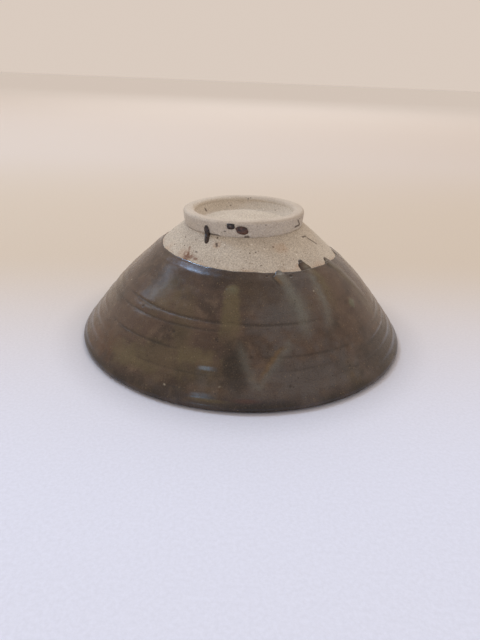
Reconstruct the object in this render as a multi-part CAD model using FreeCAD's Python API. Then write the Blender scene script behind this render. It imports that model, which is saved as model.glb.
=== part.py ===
import math
import os

import FreeCAD
import Part

# Shallow matcha bowl, standing mouth down on its lip with its foot ring on top.
# Frame: origin at the centre of the plane that the lip rests on, +Z up through the foot.
# All lengths are in millimetres and all angles in degrees. An azimuth is counted from -Y,
# the side that faces the viewer, towards +X.

Vector = FreeCAD.Vector

# Overall size
RIM_RADIUS = 75.0
BOWL_HEIGHT = 58.2

# Glaze coat
GLAZE = 0.7
LIP_BAND_HEIGHT = 6.0        # how far up the wall the doubled coat on the lip reaches
GLAZE_LINE_HEIGHT = 42.0     # mean height at which the outer coat stops
GLAZE_LINE_SLOPE = 3.0       # the bowl was dipped a little askew, so the line falls towards +X

# Clay lip: a round bead that the glaze brings up to LIP_ROUND
LIP_ROUND = 1.8
CLAY_LIP = LIP_ROUND - GLAZE
LIP_CENTRE = (RIM_RADIUS - LIP_ROUND, LIP_ROUND)
OUTER_FLARE = 37.8           # lean of the wall's outer side at the lip, from the vertical
INNER_FLARE = 42.9           # the same on the inner side, larger because the wall thickens
FOOT_LEAN = 55.2             # the same on the outer side where it reaches the foot ring

# Clay wall, as (radius, height) points that smooth curves pass through
OUTER_WALL = [(65.7, 13.3), (55.5, 25.8), (42.0, 38.5)]
INNER_WALL = [(62.6, 10.8), (52.0, 22.5), (38.6, 34.2), (21.4, 43.6)]
INNER_FLOOR_HEIGHT = 46.6

# Foot ring and the low boss that it is luted around
FOOT_JOINT_HEIGHT = 51.6
FOOT_BASE_RADIUS = 26.4
FOOT_TOP_RADIUS = 27.0
FOOT_FLAT = (23.3, 25.6)     # inner and outer radius of the flat that the bowl stands on
FOOT_EDGE = 1.4              # rounding of the flat's two edges
BOSS_RADIUS = 19.0
BOSS_EDGE_HEIGHT = 52.6
BOSS_CROWN_HEIGHT = 53.6
RECESS_COVE = (20.6, 54.4)   # a point on the hollow curve of the recess wall

# Fineness of the wall curves
LIFT_STEPS = 12              # steps that carry a wall curve over to the surface of a coat
HALVINGS = 50                # halvings that narrow down where a wall curve reaches a height

# Runs of the second glaze: top azimuth, top height, foot azimuth, foot height, half widths
RUN_THICKNESS = 0.5
RUNS = [
    (-3.5, 36.0, -2.0, 22.0, 2.6, 3.0),
    (22.0, 39.0, 27.0, 19.0, 2.6, 3.6),
    (41.5, 41.8, 37.0, 16.0, 2.0, 4.0),
    (63.0, 38.0, 70.0, 24.0, 2.4, 3.4),
    (86.0, 36.5, 88.0, 24.0, 2.2, 3.2),
]

# Dark glaze drops on the bare clay: azimuth, height, length up and down, width, thickness
DROPS = [
    (-33.0, 52.6, 7.6, 2.4, 1.9),
    (-8.6, 56.2, 2.0, 3.6, 0.9),
    (1.0, 54.1, 4.4, 4.8, 1.0),
]


def point(radius, height):
    return Vector(radius, 0, height)


def line(start, end):
    return Part.LineSegment(start, end).toShape()


def arc(start, middle, end):
    return Part.Arc(start, middle, end).toShape()


def turned(edges):
    """The solid that a closed outline in the XZ plane sweeps round the bowl's axis."""
    face = Part.Face(Part.Wire(Part.__sortEdges__(edges)))
    return face.revolve(Vector(0, 0, 0), Vector(0, 0, 1), 360)


def lip_point(radius, flare, side):
    """The point of a round lip where a wall with this flare leaves it, on side +1 out or -1 in."""
    lean = math.radians(flare)
    across = side * radius * math.cos(lean)
    along = side * radius * math.sin(lean)
    return point(LIP_CENTRE[0] + across, LIP_CENTRE[1] + along)


def up_wall(flare):
    """The direction in which a wall with this lean rises."""
    lean = math.radians(flare)
    return point(-math.sin(lean), math.cos(lean))


def outer_curve():
    points = [lip_point(CLAY_LIP, OUTER_FLARE, 1)]
    points += [point(*p) for p in OUTER_WALL]
    points.append(point(FOOT_BASE_RADIUS, FOOT_JOINT_HEIGHT))
    curve = Part.BSplineCurve()
    curve.interpolate(Points=points, InitialTangent=up_wall(OUTER_FLARE), FinalTangent=up_wall(FOOT_LEAN))
    return curve


def inner_curve():
    points = [lip_point(CLAY_LIP, INNER_FLARE, -1)]
    points += [point(*p) for p in INNER_WALL]
    points.append(point(0, INNER_FLOOR_HEIGHT))
    curve = Part.BSplineCurve()
    curve.interpolate(Points=points, InitialTangent=up_wall(INNER_FLARE), FinalTangent=point(-1, 0))
    return curve


def parameter_at(curve, height):
    """The parameter at which a rising wall curve reaches a height."""
    low = curve.FirstParameter
    high = curve.LastParameter
    for _ in range(HALVINGS):
        middle = (low + high) / 2
        if curve.value(middle).z < height:
            low = middle
        else:
            high = middle
    return low


def lifted(curve, distance, first, last):
    """A stretch of a wall curve, moved off the wall: away from the bowl's inside if positive."""
    points = []
    for step in range(LIFT_STEPS + 1):
        t = first + (last - first) * step / LIFT_STEPS
        along = curve.tangent(t)[0]
        points.append(curve.value(t) + point(along.z, -along.x) * distance)
    leaving = curve.tangent(first)[0]
    arriving = curve.tangent(last)[0]
    moved = Part.BSplineCurve()
    moved.interpolate(Points=points, InitialTangent=leaving, FinalTangent=arriving)
    return moved.toShape()


def ends(edge):
    return edge.valueAt(edge.FirstParameter), edge.valueAt(edge.LastParameter)


def between(near, far):
    """The skin between two edges that run side by side, closed across at both ends."""
    caps = [line(start, end) for start, end in zip(ends(near), ends(far))]
    return turned([near, far] + caps)


def dome(edge, crown):
    """The arc of a ball centred on the axis, from its edge up to its crown."""
    rise = crown.z - edge.z
    radius = (edge.x ** 2 + rise ** 2) / (2 * rise)
    half = math.asin(edge.x / radius) / 2
    return arc(edge, point(radius * math.sin(half), crown.z - radius * (1 - math.cos(half))), crown)


def bowl_body():
    outside = outer_curve()
    inside = inner_curve()
    lip_bottom = point(LIP_CENTRE[0], LIP_CENTRE[1] - CLAY_LIP)
    seat_outer = point(FOOT_BASE_RADIUS, FOOT_JOINT_HEIGHT)
    seat_inner = point(BOSS_RADIUS, FOOT_JOINT_HEIGHT)
    boss_edge = point(BOSS_RADIUS, BOSS_EDGE_HEIGHT)
    crown = point(0, BOSS_CROWN_HEIGHT)
    floor_centre = point(0, INNER_FLOOR_HEIGHT)
    return turned([
        outside.toShape(),
        line(seat_outer, seat_inner),
        line(seat_inner, boss_edge),
        dome(boss_edge, crown),
        line(crown, floor_centre),
        inside.toShape(),
        arc(inside.value(inside.FirstParameter), lip_bottom, outside.value(outside.FirstParameter)),
    ])


def rounded_edge(radius, height, side):
    """A quarter round from the foot's flat down to its outer (+1) or inner (-1) wall."""
    slant = FOOT_EDGE * (1 - math.sqrt(0.5))
    end = point(radius + side * FOOT_EDGE, height - FOOT_EDGE)
    middle = point(radius + side * (FOOT_EDGE - slant), height - slant)
    return arc(point(radius, height), middle, end), end


def foot_ring():
    seat_inner = point(BOSS_RADIUS, FOOT_JOINT_HEIGHT)
    seat_outer = point(FOOT_BASE_RADIUS, FOOT_JOINT_HEIGHT)
    boss_edge = point(BOSS_RADIUS, BOSS_EDGE_HEIGHT)
    inner_flat, outer_flat = FOOT_FLAT
    outer_round, outer_top = rounded_edge(outer_flat, BOWL_HEIGHT, 1)
    inner_round, inner_top = rounded_edge(inner_flat, BOWL_HEIGHT, -1)
    return turned([
        line(seat_inner, seat_outer),
        line(seat_outer, outer_top),
        outer_round,
        line(point(outer_flat, BOWL_HEIGHT), point(inner_flat, BOWL_HEIGHT)),
        inner_round,
        arc(inner_top, point(*RECESS_COVE), boss_edge),
        line(boss_edge, seat_inner),
    ])


def above_glaze_line():
    """Everything above the askew plane at which the outer coat stops."""
    reach = 2 * RIM_RADIUS
    block = Part.makeBox(2 * reach, 2 * reach, reach, Vector(-reach, -reach, 0))
    block.rotate(Vector(0, 0, 0), Vector(0, 1, 0), GLAZE_LINE_SLOPE)
    block.translate(Vector(0, 0, GLAZE_LINE_HEIGHT))
    return block


def outer_glaze():
    wall = outer_curve()
    band = parameter_at(wall, LIP_BAND_HEIGHT)
    top = wall.LastParameter
    skin = between(wall.toShape(band, top), lifted(wall, GLAZE, band, top))
    return skin.cut(above_glaze_line())


def inner_glaze():
    wall = inner_curve()
    band = parameter_at(wall, LIP_BAND_HEIGHT)
    floor = wall.LastParameter
    return between(wall.toShape(band, floor), lifted(wall, -GLAZE, band, floor))


def lip_glaze():
    edges = []
    corners = []
    for wall, side in ((outer_curve(), 1), (inner_curve(), -1)):
        start = wall.FirstParameter
        band = parameter_at(wall, LIP_BAND_HEIGHT)
        clay = wall.toShape(start, band)
        skin = lifted(wall, side * GLAZE, start, band)
        edges += [clay, skin, line(ends(clay)[1], ends(skin)[1])]
        corners.append((ends(clay)[0], ends(skin)[0]))
    for layer, radius in ((0, CLAY_LIP), (1, LIP_ROUND)):
        lowest = point(LIP_CENTRE[0], LIP_CENTRE[1] - radius)
        edges.append(arc(corners[0][layer], lowest, corners[1][layer]))
    return turned(edges)


def round_the_bowl(radius, height, azimuth):
    angle = math.radians(azimuth)
    return Vector(radius * math.sin(angle), -radius * math.cos(angle), height)


def on_wall(azimuth, height):
    """A point of the clay wall's outer side."""
    wall = outer_curve()
    place = wall.value(parameter_at(wall, height))
    return round_the_bowl(place.x, place.z, azimuth)


def streak(top, bottom, top_half, bottom_half, outward):
    """A long bar with round ends, wide enough through the wall to cut a run out of a coat."""
    along = top.sub(bottom).normalize()
    across = along.cross(outward).normalize()
    depth = 3 * LIP_ROUND
    outline = [
        line(bottom + across * bottom_half, top + across * top_half),
        arc(top + across * top_half, top + along * top_half, top - across * top_half),
        line(top - across * top_half, bottom - across * bottom_half),
        arc(bottom - across * bottom_half, bottom - along * bottom_half, bottom + across * bottom_half),
    ]
    face = Part.Face(Part.Wire(outline))
    face.translate(outward * -depth)
    return face.extrude(outward * (2 * depth))


def glaze_runs():
    """Runs that lie on the outer coat and, where one passes the glaze line, on the clay."""
    wall = outer_curve()
    low = parameter_at(wall, LIP_BAND_HEIGHT)
    high = wall.LastParameter
    thick = between(wall.toShape(low, high), lifted(wall, GLAZE + RUN_THICKNESS, low, high))
    layer = thick.cut(outer_glaze())
    runs = []
    for top_azimuth, top_height, foot_azimuth, foot_height, top_half, foot_half in RUNS:
        top = on_wall(top_azimuth, top_height)
        bottom = on_wall(foot_azimuth, foot_height)
        middle = round_the_bowl(1, 0, (top_azimuth + foot_azimuth) / 2)
        along = top.sub(bottom).normalize()
        outward = along.cross(middle).cross(along).normalize()
        runs.append(layer.common(streak(top, bottom, top_half, foot_half, outward)))
    return Part.makeCompound([solid for run in runs for solid in run.Solids])


def bead(azimuth, height, length, width, thickness):
    """A drop, as a squashed ball with its long side up the foot and its middle on the clay."""
    ball = Part.makeSphere(1)
    stretch = FreeCAD.Matrix()
    stretch.scale(width / 2, thickness, length / 2)
    drop = ball.transformGeometry(stretch)
    drop.rotate(Vector(0, 0, 0), Vector(0, 0, 1), azimuth)
    foot_slope = (height - FOOT_JOINT_HEIGHT) / (BOWL_HEIGHT - FOOT_JOINT_HEIGHT)
    radius = FOOT_BASE_RADIUS + foot_slope * (FOOT_TOP_RADIUS - FOOT_BASE_RADIUS)
    drop.translate(round_the_bowl(radius, height, azimuth))
    return drop


def glaze_drops():
    clay = [bowl_body(), foot_ring()]
    drops = [bead(*drop).cut(clay) for drop in DROPS]
    return Part.makeCompound([solid for drop in drops for solid in drop.Solids])


SUBPARTS = {
    "bowl_body": bowl_body,
    "foot_ring": foot_ring,
    "outer_glaze": outer_glaze,
    "inner_glaze": inner_glaze,
    "lip_glaze": lip_glaze,
    "glaze_runs": glaze_runs,
    "glaze_drops": glaze_drops,
}

os.makedirs("parts", exist_ok=True)
for name, make in SUBPARTS.items():
    shape = make()
    box = shape.BoundBox
    print(name, len(shape.Solids), "solids", shape.isValid(), round(shape.Volume, 1), "cubic mm",
          "from", round(box.ZMin, 2), "to", round(box.ZMax, 2), "high")
    shape.exportStep("parts/" + name + ".step")
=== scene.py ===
import math

import bmesh
import bpy
import numpy as np
from mathutils import Matrix, Vector


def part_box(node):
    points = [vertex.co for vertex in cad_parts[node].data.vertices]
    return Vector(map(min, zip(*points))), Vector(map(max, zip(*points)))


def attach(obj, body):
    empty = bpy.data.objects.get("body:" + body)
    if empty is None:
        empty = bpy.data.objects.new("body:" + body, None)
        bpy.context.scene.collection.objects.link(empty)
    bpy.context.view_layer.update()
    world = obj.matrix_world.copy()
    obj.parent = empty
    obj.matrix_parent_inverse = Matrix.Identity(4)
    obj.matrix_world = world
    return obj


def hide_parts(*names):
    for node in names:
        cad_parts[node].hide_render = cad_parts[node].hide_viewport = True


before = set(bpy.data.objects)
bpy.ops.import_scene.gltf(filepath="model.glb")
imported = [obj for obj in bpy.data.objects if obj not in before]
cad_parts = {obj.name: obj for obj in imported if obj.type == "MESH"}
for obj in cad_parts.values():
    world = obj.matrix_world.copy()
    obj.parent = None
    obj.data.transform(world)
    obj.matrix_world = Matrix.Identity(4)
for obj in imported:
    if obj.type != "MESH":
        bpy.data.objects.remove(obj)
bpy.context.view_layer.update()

# The bowl stands mouth down. An azimuth is counted from -Y, the viewer's side, towards +X.
# A slant is a distance along the outer wall from the lip up towards the foot; it is negative on
# the inside of the bowl. Lengths are in metres, azimuths in degrees. Listed marks are written
# with slants and sizes in millimetres.

MM = 0.001
TURN = 2 * math.pi

# ---------------------------------------------------------------------------- the bowl's outline

RIM_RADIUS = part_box("lip_glaze")[1].x
JOINT_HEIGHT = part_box("foot_ring")[0].z
BOWL_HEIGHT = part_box("foot_ring")[1].z
FOOT_TOP_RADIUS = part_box("foot_ring")[1].x
BOSS_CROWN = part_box("bowl_body")[1].z
FLOOR_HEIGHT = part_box("inner_glaze")[1].z
FOOT_BASE_RADIUS = 26.4 * MM

GLAZE = 0.7 * MM
LIP_ROUND = 1.8 * MM
LIP_CENTRE = (RIM_RADIUS - LIP_ROUND, LIP_ROUND)
CLAY_LIP = LIP_ROUND - GLAZE
OUTER_FLARE = 37.8
INNER_FLARE = 42.9
FOOT_LEAN = 55.2
OUTER_WALL = [(65.7, 13.3), (55.5, 25.8), (42.0, 38.5)]
INNER_WALL = [(62.6, 10.8), (52.0, 22.5), (38.6, 34.2), (21.4, 43.6)]
BOSS_RADIUS = 19.0 * MM
BOSS_EDGE = 52.6 * MM
FOOT_FLAT = (23.3 * MM, 25.6 * MM)
FOOT_EDGE = 1.4 * MM
LIP_BAND = 6.0 * MM           # height that the lip's doubled coat reaches
WIDEST_SLANT = 0.9 * MM       # the slant of the lip's widest circle
POOL_HOLE = 0.4 * MM          # how far short of the bowl's middle the inside rows stop
FLAT_SETBACK = 0.8 * MM       # how far the worn inner edge eats into the foot's flat
WORN_EDGE = (2.2 * MM, 1.9 * MM)              # its reach across and down
RECESS_COVE = (20.0 * MM, 53.2 * MM)          # the point that pulls the recess wall hollow

# Hand-thrown errors: the foot is off centre and its face isn't quite level with the rim
FOOT_OFF_CENTRE = (-1.05 * MM, 0.30 * MM)
FOOT_TILT = 0.0214


def spline(points, leaving, arriving, steps):
    """A smooth curve through points, as (steps + 1) points. It leaves and arrives along unit vectors."""
    knots = np.array(points, float)
    spans = np.linalg.norm(np.diff(knots, axis=0), axis=1)
    at = np.concatenate([[0], np.cumsum(spans)])
    count = len(knots)
    system = np.eye(count)
    wanted = np.zeros((count, 2))
    wanted[0] = leaving
    wanted[-1] = arriving
    for i in range(1, count - 1):
        before, after = spans[i - 1], spans[i]
        system[i, i - 1:i + 2] = after, 2 * (before + after), before
        rise_after = (knots[i + 1] - knots[i]) / after
        rise_before = (knots[i] - knots[i - 1]) / before
        wanted[i] = 3 * (before * rise_after + after * rise_before)
    slopes = np.linalg.solve(system, wanted)
    along = np.linspace(0, at[-1], steps + 1)
    i = np.clip(np.searchsorted(at, along, side="right") - 1, 0, count - 2)
    span = spans[i][:, None]
    u = (along - at[i])[:, None] / span
    return ((2 * u**3 - 3 * u**2 + 1) * knots[i] + (u**3 - 2 * u**2 + u) * span * slopes[i]
            + (3 * u**2 - 2 * u**3) * knots[i + 1] + (u**3 - u**2) * span * slopes[i + 1])


def lip_point(radius, flare, side):
    """The point of the lip's round where the outer (+1) or inner (-1) wall leaves it."""
    lean = math.radians(flare)
    return (LIP_CENTRE[0] + side * radius * math.cos(lean), LIP_CENTRE[1] + side * radius * math.sin(lean))


def up_wall(flare):
    """The direction up a wall that leans in from the vertical by so many degrees."""
    lean = math.radians(flare)
    return (-math.sin(lean), math.cos(lean))


class Outline:
    """The clay's section from the middle of the bowl's inside, round the lip, to the foot's joint."""

    def __init__(self):
        outer = [lip_point(CLAY_LIP, OUTER_FLARE, 1)]
        outer += [(r * MM, z * MM) for r, z in OUTER_WALL]
        outer.append((FOOT_BASE_RADIUS, JOINT_HEIGHT))
        inner = [lip_point(CLAY_LIP, INNER_FLARE, -1)]
        inner += [(r * MM, z * MM) for r, z in INNER_WALL]
        inner.append((0, FLOOR_HEIGHT))
        outer = spline(outer, up_wall(OUTER_FLARE), up_wall(FOOT_LEAN), 400)
        inner = spline(inner, up_wall(INNER_FLARE), (-1, 0), 400)
        turn = np.radians(np.linspace(-180 + INNER_FLARE, OUTER_FLARE, 41))[1:-1]
        lip = np.stack([LIP_CENTRE[0] + CLAY_LIP * np.cos(turn), LIP_CENTRE[1] + CLAY_LIP * np.sin(turn)], 1)
        self.points = np.concatenate([inner[::-1], lip, outer])
        steps = np.linalg.norm(np.diff(self.points, axis=0), axis=1)
        self.slant = np.concatenate([[0], np.cumsum(steps)])
        widest = len(inner) + np.argmax(lip[:, 0])
        self.slant -= self.slant[widest] - WIDEST_SLANT
        along = np.gradient(self.points, self.slant, axis=0)
        along /= np.linalg.norm(along, axis=1)[:, None]
        self.normal = np.stack([along[:, 1], -along[:, 0]], 1)
        self.start = self.slant[0]
        self.end = self.slant[-1]

    def at(self, slant):
        """Radius, height and outward normal at each slant."""
        columns = (self.points[:, 0], self.points[:, 1], self.normal[:, 0], self.normal[:, 1])
        return [np.interp(slant, self.slant, column) for column in columns]

    def slant_at(self, height, side):
        """The slant of a height on the outer (+1) or inner (-1) side."""
        mine = self.slant * side > 3 * MM
        order = np.argsort(self.points[mine, 1])
        return float(np.interp(height, self.points[mine, 1][order], self.slant[mine][order]))


clay = Outline()
OUTER_BAND = clay.slant_at(LIP_BAND, 1)
INNER_BAND = clay.slant_at(LIP_BAND, -1)


# ------------------------------------------------------------------------------- seeded noise

def hashed(cell, seed):
    """A repeatable number from -1 to 1 for each whole-number cell."""
    mixed = (cell[..., 0] * 73856093) ^ (cell[..., 1] * 19349663) ^ (cell[..., 2] * 83492791)
    mixed = (mixed ^ (seed * 2654435761)) & 0xFFFFFFFF
    mixed = ((mixed ^ (mixed >> 13)) * 1274126177) & 0xFFFFFFFF
    mixed = mixed ^ (mixed >> 16)
    return (mixed & 0xFFFF) / 32767.5 - 1


def noise(where, cell, seed):
    """Smooth noise from -1 to 1 at points in space, with about one swing per cell."""
    scaled = where / cell
    corner = np.floor(scaled).astype(np.int64)
    share = scaled - corner
    share = share * share * (3 - 2 * share)
    total = np.zeros(where.shape[:-1])
    for dx in (0, 1):
        for dy in (0, 1):
            for dz in (0, 1):
                step = np.array([dx, dy, dz])
                weight = np.prod(np.where(step == 1, share, 1 - share), axis=-1)
                total += weight * hashed(corner + step, seed)
    return total


def bell(distance, width):
    """1 at no distance, falling smoothly to nothing over about twice the width."""
    return np.exp(-(distance / width) ** 2)


def fade(value, low, high):
    """0 below low, 1 above high and smooth between."""
    share = np.clip((value - low) / (high - low), 0, 1)
    return share * share * (3 - 2 * share)


def from_azimuth(azimuth, centre):
    """Degrees from a centre azimuth, from -180 to 180."""
    return (azimuth - centre + 180) % 360 - 180


# ----------------------------------------------------------------------- the shape of the wall

RING_PITCH = 5.2 * MM
RING_START = 5.2 * MM

# The rings' height in millimetres where they are plain, then the places where they stand out more:
# azimuth, reach to each side and added height
RING_HEIGHT = 0.05
BOLD_RINGS = [(100, 34, 0.22), (-96, 32, 0.14), (180, 50, 0.12)]

# Single finger marks on the outer wall: slant at azimuth 0, fall of the slant per degree, height
# and half width in millimetres, then the middle azimuth and how far the mark reaches to each side
FINGER_MARKS = [
    (32, 0.03, -0.22, 0.6, -15, 58), (29, 0.0, -0.19, 0.55, -34, 36), (30.5, 0.02, 0.09, 0.9, -60, 45),
    (27.5, 0.0, 0.12, 1.3, -80, 30), (33.5, 0.03, 0.10, 1.2, -80, 25), (20, 0.0, -0.20, 0.6, -40, 25),
    (15, 0.0, -0.11, 0.45, -40, 15), (17.5, 0.0, 0.08, 1.1, -65, 40), (20, 0.045, -0.10, 0.5, 25, 25),
    (14.5, 0.02, -0.06, 0.5, 20, 15), (12, 0.0, -0.07, 0.45, -20, 22), (9.5, 0.0, -0.05, 0.5, 30, 35),
    (16.3, 0.0, 0.40, 1.9, -10, 5.5), (7.5, -0.10, 0.42, 1.9, -10, 7), (25.5, 0.03, -0.06, 0.6, 60, 30),
    (15, 0.0, -0.14, 0.6, 75, 25),
]


def around(radius, height, azimuth):
    """A point of the bowl, with the foot's hand-thrown errors growing in towards the foot."""
    angle = np.radians(azimuth)
    x = radius * np.sin(angle)
    share = height / JOINT_HEIGHT
    return np.stack([
        x + FOOT_OFF_CENTRE[0] * share,
        -radius * np.cos(angle) + FOOT_OFF_CENTRE[1] * share,
        height + FOOT_TILT * x * share,
    ], -1)


def scattered(count, seed, low, high):
    """Seeded random places on a turned surface: azimuth, and slant or radius in millimetres."""
    dice = np.random.default_rng(seed)
    return list(zip(dice.uniform(-180, 180, count), dice.uniform(low, high, count)))


def grid(azimuth, slant):
    """Points of the plain clay wall, for noise to be read at."""
    radius, height, _, _ = clay.at(slant)
    return around(radius, height, azimuth)


def throwing_rings(azimuth, slant):
    """Ridges and grooves that the potter's fingers left, as a height off the wall."""
    phase = TURN * ((slant - RING_START) / RING_PITCH - azimuth / 360)
    low = fade(slant, 0.5 * MM, 4 * MM) * (1 - fade(slant, 19 * MM, 25 * MM))
    height = RING_HEIGHT
    for middle, reach, added in BOLD_RINGS:
        height = height + added * bell(from_azimuth(azimuth, middle), reach)
    rings = height * MM * low * (np.cos(phase) + 0.25 * np.cos(2 * phase + 0.6))
    for at_front, fall, rise, half, middle, reach in FINGER_MARKS:
        away = slant - (at_front - fall * from_azimuth(azimuth, 0)) * MM
        there = 1 - fade(np.abs(from_azimuth(azimuth, middle)), 0.55 * reach, reach)
        rings = rings + rise * MM * there * bell(away, half * MM)
    return rings


def clay_relief(azimuth, slant):
    """How far the clay stands off its plain outline."""
    where = grid(azimuth, slant)
    outside = fade(slant, 0, 3 * MM)
    lumps = 0.16 * MM * noise(where, 21 * MM, 3) + 0.05 * MM * noise(where, 7 * MM, 4)
    turned = 0.03 * MM * noise(np.stack([slant, slant * 0, slant * 0], -1), 1.1 * MM, 5)
    bare = fade(slant, 50 * MM, 56 * MM)
    return outside * (lumps * (1 - 0.6 * bare) + throwing_rings(azimuth, slant)) + bare * turned


# ------------------------------------------------------------------------ places on the glaze

# Runs of the second glaze, from the head down: azimuth, slant and half width
RUNS = {
    "olive": [(-4, 47, 2.2), (-4, 45, 2.9), (-4, 40, 3.0), (-4, 28, 3.8), (-5, 22, 3.4)],
    "ash": [(-1, 28, 1.4), (1, 22, 2.4), (3, 15, 2.7), (5, 9, 2.5), (6, 6, 1.8)],
    "left": [(22, 53, 1.6), (22, 51, 3.0), (24, 47, 2.9), (26, 35, 2.9), (25, 19, 2.6)],
    "middle": [(40, 56.5, 1.1), (40, 55, 2.0), (41, 53, 2.6), (43, 47, 3.4), (41, 34, 4.4), (38, 20, 4.2)],
    "right": [(64, 52.5, 1.7), (64, 51, 2.9), (67, 45, 3.0), (70, 32, 2.7), (70, 27, 2.0)],
    "far": [(90, 50.5, 1.2), (90, 48, 2.4), (89, 40, 2.7), (89, 31, 2.2)],
    "slanting": [(17, 24.5, 1.7), (16, 22.5, 2.7), (12, 18, 2.8), (9, 14, 2.4), (5.5, 6.5, 1.0)],
}
# Height of each run over the coat, in millimetres
RUN_RISE = {
    "olive": 0.24, "ash": 0.05, "left": 0.50, "middle": 0.50, "right": 0.42, "far": 0.40, "slanting": 0.07,
}


def run_path(points, steps):
    """A run's middle line as smooth columns: azimuth, slant, half width."""
    rows = np.array(points, float)
    at = np.arange(len(rows))
    fine = np.linspace(0, len(rows) - 1, steps)
    slopes = np.gradient(rows, axis=0)
    i = np.clip(fine.astype(int), 0, len(rows) - 2)
    u = (fine - at[i])[:, None]
    path = ((2 * u**3 - 3 * u**2 + 1) * rows[i] + (u**3 - 2 * u**2 + u) * slopes[i]
            + (3 * u**2 - 2 * u**3) * rows[i + 1] + (u**3 - u**2) * slopes[i + 1])
    return path * np.array([1, MM, MM])


def beside_run(name, azimuth, slant):
    """Signed distance from a run's middle over its half width, and the share of the way down it."""
    path = run_path(RUNS[name], 60)[::-1]
    low, high = path[0, 1], path[-1, 1]
    centre = np.interp(slant, path[:, 1], path[:, 0])
    half = np.interp(slant, path[:, 1], path[:, 2])
    radius = clay.at(slant)[0]
    across = np.radians(from_azimuth(azimuth, centre)) * radius
    head = np.clip(slant - high, 0, None)
    tail = np.clip(low - slant, 0, None)
    side = np.hypot(across / half, head / (1.2 * MM) + tail / (3.5 * MM))
    return np.copysign(side, across), np.clip((high - slant) / (high - low), 0, 1)


def glaze_line(azimuth):
    """The slant at which the outer coat stops: askew, with small waves."""
    angle = np.radians(azimuth)
    waves = 0.14 * np.sin(7 * angle + 0.4) + 0.10 * np.sin(17 * angle) + 0.06 * np.sin(41 * angle + 2.0)
    return (54.5 - 2.7 * np.sin(angle) - 4.6 * bell(from_azimuth(azimuth, 122), 45) + waves) * MM


# A small green bump in the coat: azimuth and slant
BUMP = (56, 32)
# Dark places round that bump
BUMP_SHADES = [(59.0, 36.0), (61.6, 30.0), (52.5, 34.0)]

# Burst bubbles in the coat: azimuth, slant, radius and depth. Two lie beside the left run's head.
CRATERS = [(14, 52, 0.7, 0.2), (28, 51, 0.9, 0.3)]
CRATERS += [(azimuth, slant, 0.8, 0.28) for azimuth, slant in scattered(14, 4, 2, 50)]


def spot(azimuth, slant, centre_azimuth, centre_slant):
    """Distance over the wall from one place on it."""
    radius = clay.at(slant)[0]
    across = np.radians(from_azimuth(azimuth, centre_azimuth)) * radius
    return np.hypot(across, slant - centre_slant * MM)


def glaze_lift(azimuth, slant):
    """Height of a coat's surface over the clay. It thins towards the glaze line and rolls off there."""
    where = grid(azimuth, slant)
    coat = GLAZE * (1 + 0.10 * noise(where, 9 * MM, 8)) + 0.015 * MM * noise(where, 2.2 * MM, 9)
    from_edge = (glaze_line(azimuth) - slant) / MM
    coat += 0.12 * MM * bell(from_edge - 5.0, 2.0)
    coat *= 0.36 + 0.64 * np.clip(from_edge / 4.0, 0, 1)
    coat += 0.28 * MM * bell(spot(azimuth, slant, *BUMP), 2.2 * MM)
    for at_azimuth, at_slant, radius, depth in CRATERS:
        away = spot(azimuth, slant, at_azimuth, at_slant)
        coat -= depth * MM * (bell(away, radius * 0.6 * MM) - 0.35 * bell(away - radius * MM, 0.3 * MM))
    last = np.clip(from_edge / 0.45, 0, 1)
    return coat * np.sqrt(1 - (1 - last) ** 2)


def wall_surface(azimuth, slant, lift):
    """Points at a lift off the clay, with the clay's own relief under them."""
    radius, height, out, up = clay.at(slant)
    off = clay_relief(azimuth, slant) + lift
    return around(radius + out * off, height + up * off, azimuth)


# ----------------------------------------------------------------------------- building meshes

def columns(count):
    """Azimuths spread evenly round the bowl."""
    return np.arange(count) * 360 / count


def lathe(name, rows, tint=None, poles=False):
    """A closed piece from points in rows along its section and columns round the bowl.
    The last row joins the first, or with poles the first and last rows close to a point each."""
    count, around_count, _ = rows.shape
    last = count - 1 if poles else count
    i, j = np.meshgrid(np.arange(last), np.arange(around_count), indexing="ij")
    below = i * around_count
    above = (i + 1) % count * around_count
    beside = (j + 1) % around_count
    faces = np.stack([below + j, below + beside, above + beside, above + j], -1).reshape(-1, 4).tolist()
    points = rows.reshape(-1, 3)
    colours = None if tint is None else tint.reshape(-1, 4)
    if poles:
        for row in (0, count - 1):
            first = row * around_count
            middle = len(points)
            points = np.concatenate([points, rows[row].mean(0)[None]])
            if colours is not None:
                colours = np.concatenate([colours, tint[row].mean(0)[None]])
            faces += [[first + k, first + (k + 1) % around_count, middle] for k in range(around_count)]
    return piece(name, points, faces, colours)


def piece(name, points, faces, colours=None):
    """An object from points and faces, with its tint kept per point."""
    mesh = bpy.data.meshes.new(name)
    mesh.from_pydata(points.tolist(), [], faces)
    if colours is not None:
        layer = mesh.attributes.new("tint", "FLOAT_COLOR", "POINT")
        layer.data.foreach_set("color", colours.astype(np.float32).ravel())
    shell = bmesh.new()
    shell.from_mesh(mesh)
    bmesh.ops.recalc_face_normals(shell, faces=shell.faces)
    shell.to_mesh(mesh)
    shell.free()
    mesh.shade_smooth()
    mesh.set_sharp_from_angle(angle=math.radians(50))
    made = bpy.data.objects.new(name, mesh)
    bpy.context.scene.collection.objects.link(made)
    return made


def fit(made, node, material):
    """Puts a visual piece in the place of its CAD node."""
    made.data.materials.append(material)
    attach(made, "root")
    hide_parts(node)


# -------------------------------------------------------------------------------- tints

class Tint:
    """Colours laid over a plain surface, one wash at a time, kept as colour times cover and cover."""

    def __init__(self, shape):
        self.rgba = np.zeros(shape + (4,))

    def wash(self, colour, cover):
        """Lays a colour over what is there, hiding it as much as the cover says."""
        cover = np.clip(cover, 0, 1)[..., None]
        self.rgba = self.rgba * (1 - cover) + np.array(colour + (1.0,)) * cover


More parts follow.
